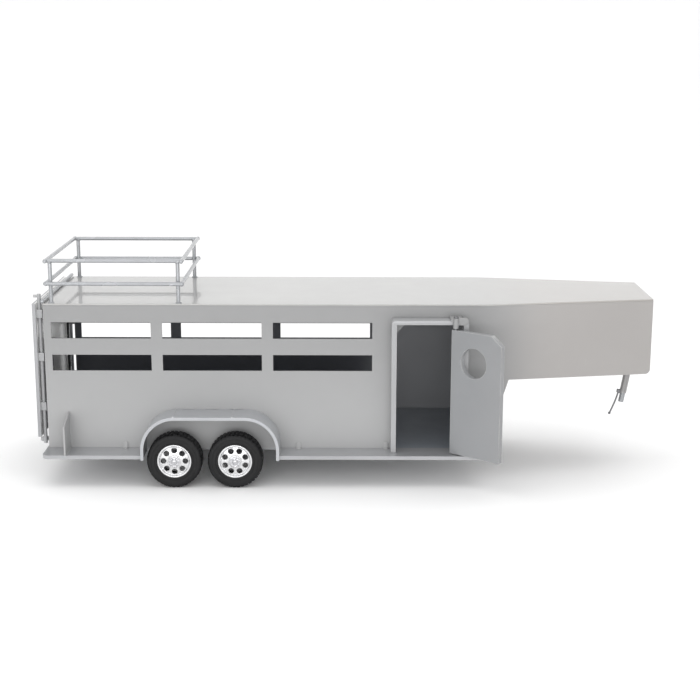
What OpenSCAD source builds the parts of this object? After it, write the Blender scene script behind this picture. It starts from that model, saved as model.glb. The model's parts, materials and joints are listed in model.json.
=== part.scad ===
// Gooseneck livestock trailer, a pressed-steel scale model of about 1:16.
// X runs from the rear gate to the nose, Y across, Z up, all in millimetres.
// The design is drawn from the rear edge of the side panels and the centre plane,
// and placed() then moves it so that the origin is under the middle of its box.

/* [Body] */
// Length of the floor, from the rear edge of the side panels to the foot of the riser
floor_len = 361; // [345:1:380]
// Outside width of the body
body_w = 127; // [110:1:150]
// Height of the top of the floor above the ground
floor_z = 27; // [25.5:0.5:30]
// Height of the top of the roof above the ground
roof_z = 148.5; // [146:0.5:165]
// Thickness of the steel sheet
sheet = 1.5; // [1:0.1:2]
// Width of the running board beside the body
board_w = 23; // [20:0.5:28]

/* [Nose] */
// Distance from the rear edge of the side panels to the front of the nose
nose_x = 500.6; // [470:0.1:540]
// Height of the underside of the nose
nose_z = 84.8; // [78:0.1:92]
// Width of the flat front of the nose
nose_w = 77.8; // [60:0.2:100]
// Place along the body where the sides begin to taper
taper_x = 362.6; // [361:0.1:372]
// How far the riser leans forward between the floor and the nose
riser_lean = 19; // [10:0.5:26]
// Radius of the lower front corner of the nose
nose_r = 4; // [1:0.5:8]

/* [Side slots] */
// Number of slots in each row
slot_count = 3; // [1:1:3]
// Length of one slot
slot_len = 81; // [60:0.5:84]
// Height of one slot
slot_h = 13.3; // [8:0.1:16]
// Distance from one slot to the next
slot_pitch = 90.2; // [86:0.1:91]
// Distance from the rear edge of the panel to the first slot
slot_x = 6.1; // [4:0.1:8]
// Heights of the lower edges of the two rows
slot_rows = [92.7, 119.7]; // [92:0.1:121]

/* [Side door] */
// Rear edge of the doorway
door_x = 287; // [283:0.5:289]
// Clear width of the doorway
door_gap = 53.8; // [52:0.1:56]
// Height of the top of the doorway
door_top = 134.2; // [133:0.1:136]
// How far the door frame stands out from the panel
frame_depth = 13.6; // [12:0.1:14]
// Width of the frame's face
frame_face = 4.2; // [3:0.1:5]
// Thickness of the door
door_t = 4.6; // [3:0.1:5]
// Length of the door from its hinge pin to its free edge
door_len = 45.6; // [40:0.1:46]
// Angle that the door stands open
door_open = 140; // [110:1:160]
// Radius of the round window
window_r = 12.4; // [8:0.1:14]

/* [Rear gate] */
// Gap between the panels and the gate
gate_gap = 5.8; // [5.6:0.1:7]
// Depth of the gate frame
gate_depth = 2.9; // [2.4:0.1:4]
// Height of the lower edge of the gate
gate_z = 36; // [35:0.5:40]
// Width of the gate frame's bars
gate_bar = 6; // [4:0.5:9]

/* [Wheels] */
// Radius of the tyres
tyre_r = 22.5; // [22:0.1:23]
// Width of the tyres
tyre_w = 15.5; // [13:0.1:16]
// Radius of the rims
rim_r = 13.8; // [12:0.1:15]
// Places of the rear and the front axle along the body
axle_x = [106.5, 156]; // [104:0.5:160]
// Radius of the axle rods
axle_r = 2; // [1.5:0.1:2.2]
// Number of holes round each rim
rim_holes = 8; // [5:1:9]
// Radius of a rim hole
rim_hole_r = 2.35; // [1:0.05:2.5]

/* [Fenders] */
// Rear end of the fender arch
arch_x = 79.5; // [78:0.5:82]
// Length of the fender arch
arch_len = 112.5; // [106:0.5:114]
// Height of the top of the fender
arch_z = 60.2; // [56:0.1:66]
// How far the fenders stand out past the running boards
arch_out = 3.5; // [0:0.1:5]
// Radius of the fender's corners
arch_r = 28; // [20:0.5:30]

/* [Roof rack] */
// Radius of the rack's rods
rack_rod_r = 1.65; // [1:0.05:2]
// Places of the two pairs of posts along the roof
rack_x = [6.8, 110]; // [6.4:0.1:200]
// Heights of the middle and the top rail above the roof
rack_rails = [16.4, 34.6]; // [12:0.1:45]
// How far the rails run past the posts
rack_over = 4.6; // [2:0.1:6]

/* [Hitch] */
// Place of the hitch tube under the nose
hitch_x = 491; // [480:0.1:492]
// Lean of the hitch tube from the vertical
hitch_lean = 9.5; // [0:0.5:14]
// Outer radius of the upper tube
hitch_r = 2.95; // [2.5:0.05:4]
// Length of the upper tube
hitch_len = 26.7; // [20:0.1:32]
// Outer radius of the socket tube
socket_r = 2.4; // [2.1:0.05:2.5]
// Radius of the socket's bore
socket_bore_r = 1.7; // [1.2:0.05:1.8]
// Length of the socket tube that shows
socket_len = 8.2; // [6:0.1:14]

/* [Hidden] */
$fn = 48;
half_w = body_w / 2;
nose_half = nose_w / 2;
deck_z = roof_z - sheet;
board_y = half_w + board_w;
floor_under = floor_z - sheet;
lip_h = 3;
lip_z = floor_z - lip_h;
run_gap = 0.05;
free_gap = 0.3;

// Taper of the nose sides, and the sheet measured square to the taper
taper_a = atan((half_w - nose_half) / (nose_x - taper_x));
taper_sheet = sheet / cos(taper_a);
bend_back = sheet * tan(taper_a / 2);
riser_foot_x = floor_len;
riser_head_x = floor_len + riser_lean;
riser_sheet = sheet / cos(atan(riser_lean / (nose_z - floor_z)));

// Rear end
board_rear_x = -1.4;
board_corner_r = 5;
gate_front_x = -gate_gap;
gate_back_x = gate_front_x - gate_depth;
gate_top_z = roof_z - free_gap;
gate_free_y = -half_w;
gate_hinge_edge_y = half_w - 1.5;
gate_axis = [-4, half_w + 2];
gate_rod_r = 1.6;
gate_knuckle_r = 2.9;
gate_knuckle_h = 8;
gate_knuckles = [52, 104.5, 134];
gate_strap_len = 5.5;
gate_flange_t = 1.2;
gate_flange_w = 2.2;
gate_strap_t = 1.6;
gate_arms = [66, 120];
gate_arm_h = 10;
latch_axis = [-3.6, -half_w + 5];
latch_guides = [58, 100, 136];
latch_guide_h = 7;
latch_rod_bottom = 29.6;
latch_rod_top = roof_z + 7;
latch_finger_z = 30;
latch_finger_h = 3.4;
latch_finger_in = 4.9;
latch_finger_out = 6.6;
latch_finger_lead = 20;
latch_finger_trail = 50;
latch_arm_w = 1.2;
keeper_post_r = 0.9;
keeper_reach = 3.4;
keeper_h = 7.5;

// Side door
door_pin = [door_x + 47.2, -half_w - 15.8];
door_pin_r = 1.2;
door_z = floor_z + 1;
door_head_z = door_top - 3.2;
door_heel = door_t / 2;
door_skin = 1.1;
door_cut = [10, 7.5];
doorway_cut = [9.5, 10.7];
window_s = 19.5;
window_z = 106.2;
window_rim = 1.2;
frame_y = -half_w - frame_depth;
frame_head_z = door_top + 3.4;

// Wheels
fender_y = board_y + arch_out;
fender_lip = 2.4;
wheel_y = fender_y - 2 - tyre_w / 2;
hub_r = 4.75;
hub_bore_r = axle_r + run_gap;
retainer_r = 3.3;
rim_hole_ring = 8.9;
hanger_y = 55;
hanger_t = 3;
hanger_half = 7;
hanger_top_t = 0.8;
bush_r = 2.9;

// Gussets and tabs
gusset_x = 17.5;
gusset_head = 31;
gusset_drop = 7.5;
tab_x = [61.5, 205, 277];
tab_h = 5;
tab_w = 4;

// Roof rack
rack_y = half_w - 3;
rear_tube_r = 1.6;

// Hitch, measured down the tube from its root
socket_up = 7;
wire_r = 0.75;
wire_eye_r = 1.2;
wire_eye_bore = 0.65;
wire_pin_r = 0.6;
wire_out = socket_r + free_gap + wire_eye_r;
wire_drop = 9.5;
wire_lean = 4;
wire_tail = 11.6;
wire_kink = 15;
wire_ball_r = 1.15;
wire_knee_r = 0.95;
wire_eye_half = 0.6;
wire_pivot_s = hitch_len - 0.6;
wire_notch = 3.4;
wire_ear_t = 0.8;

// The box of the whole object at rest, which places the origin
door_tip_y = door_pin[1] - door_len * sin(180 - door_open) - door_heel * cos(180 - door_open);
shift_x = -(nose_x + gate_back_x) / 2;
shift_y = -(door_tip_y + fender_y) / 2;

steel_grey = [0.70, 0.71, 0.72];
bright_grey = [0.80, 0.81, 0.82];
rim_silver = [0.90, 0.90, 0.91];
tyre_black = [0.08, 0.08, 0.09];
dark_steel = [0.30, 0.31, 0.33];

// Moves the design so that the origin is under the middle of its box
module placed() {
    translate([shift_x, shift_y, 0]) children();
}

// Draws a shape on the right side and its mirror image on the left
module both_sides() {
    children();
    mirror([0, 1, 0]) children();
}

// Stands an X-Z outline up and gives it a width along Y, from y_low upwards
module upright(y_low, width) {
    translate([0, y_low + width, 0]) rotate([90, 0, 0]) linear_extrude(width) children();
}

// A straight rod between two points
module rod(from, to, radius) {
    run = to - from;
    length = norm(run);
    translate(from)
        rotate([0, acos(run[2] / length), atan2(run[1], run[0])])
            cylinder(h = length, r = radius);
}

// Points of a quarter arc, from one angle to another
function arc(centre, radius, start, stop, steps = 6) =
    [for (i = [0:steps]) let (a = start + (stop - start) * i / steps)
        [centre[0] + radius * cos(a), centre[1] + radius * sin(a)]];

// Plan of the body's outside, and of the space inside its walls
module body_plan() {
    polygon([[0, -half_w], [taper_x, -half_w], [nose_x, -nose_half],
        [nose_x, nose_half], [taper_x, half_w], [0, half_w]]);
}

module inside_plan() {
    inner = half_w - sheet;
    polygon([[0, -inner], [taper_x - bend_back, -inner], [nose_x, -nose_half + taper_sheet],
        [nose_x, nose_half - taper_sheet], [taper_x - bend_back, inner], [0, inner]]);
}

// Outline of a side seen from beside it
module side_outline() {
    polygon(concat([[0, floor_z], [riser_foot_x, floor_z], [riser_head_x, nose_z]],
        arc([nose_x - nose_r, nose_z + nose_r], nose_r, -90, 0),
        [[nose_x, deck_z], [0, deck_z]]));
}

module side_slots() {
    for (row = slot_rows, i = [0:slot_count - 1])
        translate([slot_x + i * slot_pitch, row]) square([slot_len, slot_h]);
}

module doorway() {
    polygon([[door_x - 0.5, floor_z - 1], [door_x + door_gap, floor_z - 1],
        [door_x + door_gap, door_top], [door_x - 0.5 + doorway_cut[0], door_top],
        [door_x - 0.5, door_top - doorway_cut[1]]]);
}

// One wall of the body, bent in at the start of the nose
module side_wall() {
    intersection() {
        upright(-half_w - 1, half_w) children();
        translate([0, 0, floor_z - 1]) linear_extrude(roof_z) difference() {
            body_plan();
            translate([-1, 0]) square([nose_x + 2, body_w]);
            inside_plan();
            translate([-1, -half_w + sheet]) square([2, half_w]);
        }
    }
}

module right_side_panel() {
    color(steel_grey) placed() side_wall() difference() {
        side_outline();
        side_slots();
        doorway();
    }
}

module left_side_panel() {
    color(steel_grey) placed() mirror([0, 1, 0]) side_wall() difference() {
        side_outline();
        side_slots();
    }
}

module roof_panel() {
    color(bright_grey) placed() translate([0, 0, deck_z]) linear_extrude(sheet) body_plan();
}

module nose_front_plate() {
    color(steel_grey) placed() intersection() {
        upright(-half_w, body_w) difference() {
            translate([nose_x - sheet - nose_r, nose_z])
                square([sheet + nose_r, deck_z - nose_z]);
            translate([nose_x - sheet - nose_r - 1, nose_z + nose_r])
                square([nose_r + 1, deck_z]);
            translate([nose_x - nose_r, nose_z + nose_r]) circle(nose_r - sheet);
            translate([nose_x - sheet - nose_r - 1, nose_z + sheet])
                square([sheet + 1, nose_r]);
            difference() {
                translate([nose_x - nose_r, nose_z - 1]) square([nose_r + 1, nose_r + 1]);
                translate([nose_x - nose_r, nose_z + nose_r]) circle(nose_r);
            }
        }
        linear_extrude(roof_z) inside_plan();
    }
}

module nose_floor() {
    color(steel_grey) placed() intersection() {
        translate([riser_head_x - riser_sheet, -half_w, nose_z])
            cube([nose_x - sheet - nose_r - riser_head_x + riser_sheet, body_w, sheet]);
        linear_extrude(roof_z) inside_plan();
    }
}

module riser_panel() {
    color(steel_grey) placed() intersection() {
        upright(-half_w, body_w) polygon([[riser_foot_x, floor_z], [riser_head_x, nose_z],
            [riser_head_x - riser_sheet, nose_z], [riser_foot_x - riser_sheet, floor_z]]);
        linear_extrude(roof_z) inside_plan();
    }
}

// Plan of the running board behind or ahead of the wheels
module board_plan(from_x, to_x, rounded) {
    difference() {
        translate([from_x, -board_y]) square([to_x - from_x, board_w]);
        if (rounded) difference() {
            translate([from_x - 1, -board_y - 1]) square(board_corner_r + 1);
            translate([from_x + board_corner_r, -board_y + board_corner_r]) circle(board_corner_r);
        }
    }
}

module floor_plate() {
    color(steel_grey) placed() difference() {
        union() {
            translate([board_rear_x, -half_w, floor_under])
                cube([floor_len - board_rear_x, body_w, sheet]);
            both_sides() {
                translate([0, 0, floor_under]) linear_extrude(sheet) {
                    board_plan(board_rear_x, arch_x, true);
                    board_plan(arch_x + arch_len, floor_len, false);
                }
                translate([0, 0, lip_z]) linear_extrude(lip_h - sheet) {
                    board_lip(board_rear_x, arch_x, true);
                    board_lip(arch_x + arch_len, floor_len, false);
                }
            }
        }
        translate([door_pin[0], door_pin[1], lip_z - 1])
            cylinder(h = lip_h + 2, r = door_pin_r + run_gap);
    }
}

// The turned-down edge along the outside of the running board
module board_lip(from_x, to_x, rounded) {
    intersection() {
        board_plan(from_x, to_x, rounded);
        difference() {
            translate([from_x - 1, -board_y - 1]) square([to_x - from_x + 2, board_w]);
            translate([from_x + (rounded ? sheet : -2), -board_y + sheet])
                square([to_x - from_x + 4, board_w]);
        }
    }
}

// Outline of the space under the fender arch, drawn in by an amount
module arch_outline(inset) {
    radius = arch_r - inset;
    centre_z = arch_z - arch_r;
    translate([arch_x + inset, lip_z - 1])
        square([arch_len - 2 * inset, centre_z - lip_z + 1]);
    translate([arch_x + arch_r, centre_z])
        square([arch_len - 2 * arch_r, radius]);
    for (x = [arch_x + arch_r, arch_x + arch_len - arch_r])
        translate([x, centre_z]) circle(radius);
}

module fender() {
    difference() {
        union() {
            upright(-fender_y, fender_y - half_w) difference() {
                arch_outline(0);
                arch_outline(sheet);
            }
            upright(-fender_y, sheet) difference() {
                arch_outline(0);
                arch_outline(fender_lip);
            }
            for (x = [arch_x + arch_r - 1, arch_x + arch_len - arch_r - 10])
                rod([x, -fender_y + 1, arch_z - 0.2], [x, -half_w, arch_z - 0.2], 0.7);
        }
        translate([0, -fender_y - 1, -arch_z]) cube([nose_x, fender_y, arch_z + lip_z]);
    }
}

module right_fender() {
    color(steel_grey) placed() fender();
}

module left_fender() {
    color(steel_grey) placed() mirror([0, 1, 0]) fender();
}

// A three-sided box frame that stands out over the running board
module door_frame() {
    outer_w = door_gap + 2 * frame_face;
    corner = 3;
    color(steel_grey) placed() upright(frame_y, frame_depth) difference() {
        translate([door_x - frame_face, floor_z]) difference() {
            square([outer_w, frame_head_z - floor_z]);
            for (side = [0, 1]) translate([side * outer_w, frame_head_z - floor_z])
                difference() {
                    square(2 * corner, center = true);
                    translate([corner * (1 - 2 * side), -corner]) circle(corner);
                }
        }
        translate([door_x, floor_z - 1]) square([door_gap, door_top - floor_z + 1]);
    }
}

// Knuckle for the door's upper pin, with a strap over the head of the frame
module door_hinge_bracket() {
    knuckle_r = 2.15;
    strap_z = frame_head_z - 3.2;
    strap_h = 6;
    strap_end = door_x + door_gap + frame_face - 0.5;
    color(bright_grey) placed() difference() {
        union() {
            translate([door_pin[0], door_pin[1], door_head_z + 1])
                cylinder(h = strap_z + strap_h - door_head_z - 1, r = knuckle_r);
            translate([door_pin[0], frame_y - sheet, strap_z])
                cube([strap_end - door_pin[0] - strap_h / 2, sheet, strap_h]);
            translate([strap_end - strap_h / 2, frame_y, strap_z + strap_h / 2])
                rotate([90, 0, 0]) cylinder(h = sheet, r = strap_h / 2);
            translate([door_pin[0] - 4, frame_y - sheet, frame_head_z])
                cube([strap_end - door_pin[0] - 1, frame_depth + sheet, sheet]);
        }
        translate([door_pin[0], door_pin[1], door_head_z])
            cylinder(h = strap_z + strap_h, r = door_pin_r + run_gap);
    }
}

module board_gussets() {
    color(steel_grey) placed() both_sides()
        translate([gusset_x, -half_w, floor_z]) rotate([90, 0, -90])
            linear_extrude(sheet, center = true)
                polygon([[0, 0], [board_w, 0], [board_w, gusset_head - gusset_drop],
                    [board_w - 1.5, gusset_head - gusset_drop + 1], [0, gusset_head]]);
}

// Small welded tabs that hold the panels to the running boards
module panel_tabs() {
    color(bright_grey) placed() both_sides()
        for (x = tab_x)
            translate([x, -half_w - 1.2, floor_z]) {
                cube([tab_w, 1.2, tab_h]);
                translate([0, -2.4, 0]) cube([tab_w, 3.6, 0.8]);
            }
}

module rack_posts() {
    color(bright_grey) placed() both_sides()
        for (x = rack_x)
            translate([x, -rack_y, roof_z]) {
                cylinder(h = rack_rails[1] - rack_rod_r, r = rack_rod_r);
                cylinder(h = 0.8, r = rack_rod_r + 1);
            }
}

// The middle rails run outside the posts, and the top rails on them
module side_rails(radius) {
    for (level = [0, 1]) {
        rail_y = rack_y + (1 - level) * 2 * rack_rod_r;
        rod([rack_x[0] - rack_over, -rail_y, roof_z + rack_rails[level]],
            [rack_x[1] + rack_over, -rail_y, roof_z + rack_rails[level]], radius);
    }
}

module rack_side_rails() {
    color(bright_grey) placed() both_sides() side_rails(rack_rod_r);
}

// Rails across the roof, cut where the side rails cross them
module rack_cross_rails() {
    color(bright_grey) placed() difference() {
        for (h = rack_rails, end = [0, 1])
            rod([rack_x[end] + (2 * end - 1) * 2 * rack_rod_r, -rack_y - rack_over, roof_z + h],
                [rack_x[end] + (2 * end - 1) * 2 * rack_rod_r, rack_y + rack_over, roof_z + h],
                rack_rod_r);
        both_sides() side_rails(rack_rod_r + 0.02);
    }
}

// Rod welded along the rear edge of the roof
module roof_rear_tube() {
    color(bright_grey) placed()
        rod([-0.4, -half_w + 0.5, roof_z + rear_tube_r], [-0.4, half_w - 0.5, roof_z + rear_tube_r],
            rear_tube_r);
}

// Channels under the floor that carry the axle rods
module axle_hangers() {
    color(dark_steel) placed()
        for (x = axle_x) {
            translate([x - hanger_half, -hanger_y - hanger_t, floor_under - hanger_top_t])
                cube([2 * hanger_half, 2 * (hanger_y + hanger_t), hanger_top_t]);
            both_sides() difference() {
                translate([x - hanger_half, -hanger_y - hanger_t, tyre_r - 6])
                    cube([2 * hanger_half, hanger_t, floor_under - hanger_top_t - tyre_r + 6]);
                translate([x, -hanger_y + 1, tyre_r]) rotate([90, 0, 0])
                    cylinder(h = hanger_t + 2, r = axle_r + 0.02);
            }
        }
}

module axle(x) {
    end_y = wheel_y + tyre_w / 2 - 3.4;
    color(rim_silver) placed() rod([x, -end_y, tyre_r], [x, end_y, tyre_r], axle_r);
}

module rear_axle() {
    axle(axle_x[0]);
}

module front_axle() {
    axle(axle_x[1]);
}

// Spacer tubes between the hangers and the wheels
module axle_bushes() {
    from_y = hanger_y + hanger_t + 0.05;
    to_y = wheel_y - tyre_w / 2 - 0.2;
    color(dark_steel) placed() both_sides()
        for (x = axle_x)
            translate([x, -from_y, tyre_r]) rotate([90, 0, 0]) difference() {
                cylinder(h = to_y - from_y, r = bush_r);
                translate([0, 0, -1]) cylinder(h = to_y, r = axle_r + 0.02);
            }
}

// Discs on the ends of the axles that keep the wheels on
module axle_retainers() {
    end_y = wheel_y + tyre_w / 2 - 3.4;
    thick = 1.2;
    color(dark_steel) placed() both_sides()
        for (x = axle_x)
            translate([x, -end_y, tyre_r]) rotate([90, 0, 0]) cylinder(h = thick, r = retainer_r);
}

// Turns a radius-height profile about the wheel's axle, with the outside at the top
module wheel_turned(x) {
    translate([x, -wheel_y, tyre_r]) rotate([90, 0, 0]) rotate_extrude() children();
}

module tyre(x) {
    side = tyre_w / 2;
    shoulder = tyre_r - 0.9;
    groove = 0.8;
    color(tyre_black) placed() wheel_turned(x) difference() {
        polygon([[rim_r, -side + 0.9], [rim_r + 1.4, -side + 0.1], [rim_r + 3, -side],
            [shoulder - 1.6, -side + 0.2], [shoulder, -side + 0.8], [tyre_r, -side + 2.2],
            [tyre_r, side - 2.2], [shoulder, side - 0.8], [shoulder - 1.6, side - 0.2],
            [rim_r + 3, side], [rim_r + 1.4, side - 0.1], [rim_r, side - 0.9]]);
        for (y = [-3.3, 0, 3.3])
            translate([tyre_r - groove, y - 0.5]) square([groove + 1, 1]);
    }
}

module rim(x, turn) {
    side = tyre_w / 2 - 0.9;
    face = side - 1.1;
    web = 1.3;
    color(rim_silver) placed() difference() {
        wheel_turned(x) union() {
            polygon([[rim_r - 1.2, -side], [rim_r, -side], [rim_r, side], [rim_r - 1.1, side],
                [rim_r - 1.5, side - 0.8], [rim_r - 1.5, face], [rim_r - 2.2, face - 0.6],
                [hub_r + 1, face + 0.3], [hub_r, face + 1.2], [3.6, face + 1.2],
                [3.6, face - 2.6], [hub_bore_r, face - 2.6], [hub_bore_r, -side],
                [hub_r - 1, -side], [hub_r, face - 2.6], [hub_r + 1, face - web],
                [rim_r - 1.2, face - 0.6 - web]]);
        }
        for (i = [0:rim_holes - 1])
            translate([x, -wheel_y, tyre_r]) rotate([90, 0, 0])
                rotate([0, 0, turn + i * 360 / rim_holes])
                    translate([rim_hole_ring, 0, face - 4])
                        cylinder(h = 6, r = rim_hole_r, $fn = 32);
    }
}

module hub_cap(x, turn) {
    base = tyre_w / 2 - 0.9 + 0.1;
    color(rim_silver) placed()
        translate([x, -wheel_y, tyre_r]) rotate([90, 0, 0]) {
            translate([0, 0, base]) cylinder(h = 0.8, r = hub_r - 0.2);
            translate([0, 0, base + 0.8]) cylinder(h = 0.9, r1 = 2, r2 = 1.5);
            for (i = [0:5])
                rotate([0, 0, turn + i * 60]) translate([3.3, 0, base + 0.6])
                    cylinder(h = 0.9, r = 0.6, $fn = 6);
        }
}

module left_half() {
    translate([0, 2 * shift_y, 0]) mirror([0, 1, 0]) children();
}

module tyre_rear_right() { tyre(axle_x[0]); }
module rim_rear_right() { rim(axle_x[0], 0); }
module hub_cap_rear_right() { hub_cap(axle_x[0], 0); }
module tyre_rear_left() { left_half() tyre(axle_x[0]); }
module rim_rear_left() { left_half() rim(axle_x[0], 0); }
module hub_cap_rear_left() { left_half() hub_cap(axle_x[0], 0); }
module tyre_front_right() { tyre(axle_x[1]); }
module rim_front_right() { rim(axle_x[1], 180 / rim_holes); }
module hub_cap_front_right() { hub_cap(axle_x[1], 12); }
module tyre_front_left() { left_half() tyre(axle_x[1]); }
module rim_front_left() { left_half() rim(axle_x[1], 180 / rim_holes); }
module hub_cap_front_left() { left_half() hub_cap(axle_x[1], 12); }

// Puts a shape in line with the hitch tube, its Z running down the tube from the root
module along_hitch() {
    translate([hitch_x, 0, nose_z]) rotate([0, 180 + hitch_lean, 0]) children();
}

module hitch_tube() {
    color(bright_grey) placed() difference() {
        along_hitch() translate([0, 0, -3]) cylinder(h = hitch_len + 3, r = hitch_r);
        along_hitch() translate([0, 0, hitch_len - socket_up])
            cylinder(h = socket_up + 1, r = socket_r + 0.02);
        along_hitch() translate([0, -wire_r - free_gap, hitch_len - wire_notch])
            cube([hitch_r + 1, 2 * (wire_r + free_gap), wire_notch + 1]);
        translate([hitch_x - 10, -10, nose_z]) cube(20);
    }
}

module hitch_socket() {
    depth = socket_len + socket_up - 2;
    color(bright_grey) placed() along_hitch() difference() {
        translate([0, 0, hitch_len - socket_up + 0.02])
            cylinder(h = socket_up + socket_len, r = socket_r);
        translate([0, 0, hitch_len + socket_len - depth])
            cylinder(h = depth + 1, r = socket_bore_r);
    }
}

// Two ears and a pin on the tube that carry the latch wire
module hitch_ears() {
    gap = wire_r + free_gap;
    pin_half = gap + wire_ear_t + 0.5;
    color(dark_steel) placed() along_hitch() {
        both_sides() difference() {
            translate([hitch_r - 1.2, -gap - wire_ear_t, wire_pivot_s - 1.4])
                cube([wire_out + 1.3 - hitch_r + 1.2, wire_ear_t, 2.8]);
            translate([0, 0, wire_pivot_s - 4]) cylinder(h = 8, r = hitch_r + 0.01);
        }
        translate([wire_out, pin_half, wire_pivot_s]) rotate([90, 0, 0])
            cylinder(h = 2 * pin_half, r = wire_pin_r);
    }
}

// Latch wire with an eye at the pin, a kink below the socket and a ball at its tip
module hitch_wire() {
    pivot = [wire_out, 0, wire_pivot_s];
    knee = pivot + wire_drop * [sin(wire_lean), 0, cos(wire_lean)];
    tip = knee + wire_tail * [sin(wire_kink), 0, cos(wire_kink)];
    color(dark_steel) placed() along_hitch() {
        difference() {
            translate(pivot + [0, wire_eye_half, 0]) rotate([90, 0, 0])
                cylinder(h = 2 * wire_eye_half, r = wire_eye_r);
            translate(pivot + [0, 5, 0]) rotate([90, 0, 0]) cylinder(h = 10, r = wire_eye_bore);
        }
        rod(pivot + [0, 0, wire_eye_r - 0.25], knee, wire_r);
        translate(knee) sphere(wire_knee_r);
        rod(knee, tip, wire_r);
        translate(tip) sphere(wire_ball_r);
    }
}

// Fixed half of the gate's hinges, with straps along the left panel
module gate_knuckle_straps() {
    strap_y = half_w + 0.02;
    color(bright_grey) placed()
        for (z = gate_knuckles)
            difference() {
                union() {
                    translate([gate_axis[0], gate_axis[1], z])
                        cylinder(h = gate_knuckle_h, r = gate_knuckle_r);
                    translate([gate_axis[0], strap_y, z])
                        cube([gate_strap_len - gate_axis[0], gate_strap_t, gate_knuckle_h]);
                }
                translate([gate_axis[0], gate_axis[1], z - 1])
                    cylinder(h = gate_knuckle_h + 2, r = gate_rod_r + run_gap);
            }
}

// Open frame with a flange that covers most of the gap at the hinges
module gate_frame() {
    width = gate_hinge_edge_y - gate_free_y;
    height = gate_top_z - gate_z;
    color(steel_grey) placed() difference() {
        union() {
            translate([gate_back_x, gate_free_y, gate_z]) cube([gate_depth, width, height]);
            translate([gate_back_x, gate_free_y, gate_z])
                cube([gate_flange_t, width + gate_flange_w, height]);
        }
        for (half = [0, 1])
            translate([gate_back_x - 1, gate_free_y + gate_bar,
                gate_z + gate_bar + half * (height - gate_bar) / 2])
                cube([gate_depth + 2, width - 2 * gate_bar, (height - 3 * gate_bar) / 2]);
    }
}

// Two sheets that fill the gate frame
module gate_sheet() {
    width = gate_hinge_edge_y - gate_free_y;
    height = gate_top_z - gate_z;
    color(steel_grey) placed()
        for (half = [0, 1])
            translate([gate_back_x + 0.9, gate_free_y + gate_bar,
                gate_z + gate_bar + half * (height - gate_bar) / 2])
                cube([1, width - 2 * gate_bar, (height - 3 * gate_bar) / 2]);
}

module gate_hinge_rod() {
    color(bright_grey) placed() {
        translate([gate_axis[0], gate_axis[1], gate_z + 6])
            cylinder(h = gate_top_z - gate_z - 8, r = gate_rod_r);
        for (z = gate_arms)
            translate([gate_front_x, gate_hinge_edge_y - 3, z])
                cube([1.8, gate_axis[1] - gate_hinge_edge_y + 3, gate_arm_h]);
    }
}

// Blocks on the gate in which the latch rod turns
module latch_guides() {
    reach = latch_axis[0] - gate_front_x + gate_rod_r + 0.9;
    color(bright_grey) placed()
        for (z = latch_guides)
            difference() {
                translate([gate_front_x, latch_axis[1] - 2.6, z]) cube([reach, 5.2, latch_guide_h]);
                translate([latch_axis[0], latch_axis[1], z - 1])
                    cylinder(h = latch_guide_h + 2, r = gate_rod_r + run_gap);
            }
}

// Latch rod: a bent handle above the roof and a curved finger at its foot
module latch_rod() {
    handle_z = roof_z + 5.2;
    color(bright_grey) placed() translate([latch_axis[0], latch_axis[1], 0]) {
        translate([0, 0, latch_rod_bottom])
            cylinder(h = latch_rod_top - latch_rod_bottom, r = gate_rod_r);
        rod([0, 0, handle_z], [-4.6, 0, handle_z], 1.2);
        translate([0, 0, latch_finger_z]) {
            rotate([0, 0, 90 + latch_finger_trail]) translate([0, -latch_arm_w, 0])
                cube([latch_finger_in + 0.6, latch_arm_w, latch_finger_h]);
            linear_extrude(latch_finger_h)
                polygon(concat(
                    arc([0, 0], latch_finger_out, 90 - latch_finger_lead, 90 + latch_finger_trail, 10),
                    arc([0, 0], latch_finger_in, 90 + latch_finger_trail, 90 - latch_finger_lead, 10)));
        }
    }
}

// Post on the rear edge of the floor, which the latch finger goes round
module latch_keeper() {
    color(bright_grey) placed() translate([latch_axis[0] + keeper_reach, latch_axis[1], floor_z])
        cylinder(h = keeper_h, r = keeper_post_r);
}

// Turns the door from closed, along -X from its pin, to the angle at which it stands
module door_swing() {
    translate([door_pin[0], door_pin[1], 0]) rotate([0, 0, door_open]) children();
}

// Outline of the door seen from inside the body, drawn in by an amount
module door_outline(inset) {
    polygon([[door_heel - inset, door_z + inset], [door_heel - inset, door_head_z - inset],
        [-door_len + door_cut[0] + inset * 0.4, door_head_z - inset],
        [-door_len + inset, door_head_z - door_cut[1] - inset * 0.4],
        [-door_len + inset, door_z + inset]]);
}

module door_window(radius) {
    translate([-window_s, window_z]) circle(radius);
}

module door_inner_skin() {
    color(steel_grey) placed() door_swing() difference() {
        upright(-door_t / 2, door_t) difference() {
            door_outline(0);
            door_window(window_r);
        }
        upright(-door_t / 2 - 1, door_t - door_skin + 1) difference() {
            door_outline(door_skin);
            for (z = [door_z, door_head_z]) translate([-3.6, z - 6]) square([7.2, 12]);
        }
        for (z = [door_z - 1, door_head_z - 5]) translate([0, 0, z])
            cylinder(h = 6, r = door_pin_r + 0.01);
    }
}

module door_outer_skin() {
    color(steel_grey) placed() door_swing() upright(-door_t / 2 + 0.3, door_skin) difference() {
        door_outline(door_skin + 0.02);
        door_window(window_r + window_rim + 0.02);
        for (z = [door_z, door_head_z]) translate([-3.62, z - 6.02]) square([8, 12.04]);
    }
}

// Short tube that lines the round window between the two skins
module window_ring() {
    color(bright_grey) placed() door_swing()
        upright(-door_t / 2 - 0.3, door_t - door_skin + 0.28) difference() {
            door_window(window_r + window_rim);
            door_window(window_r);
        }
}

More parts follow.
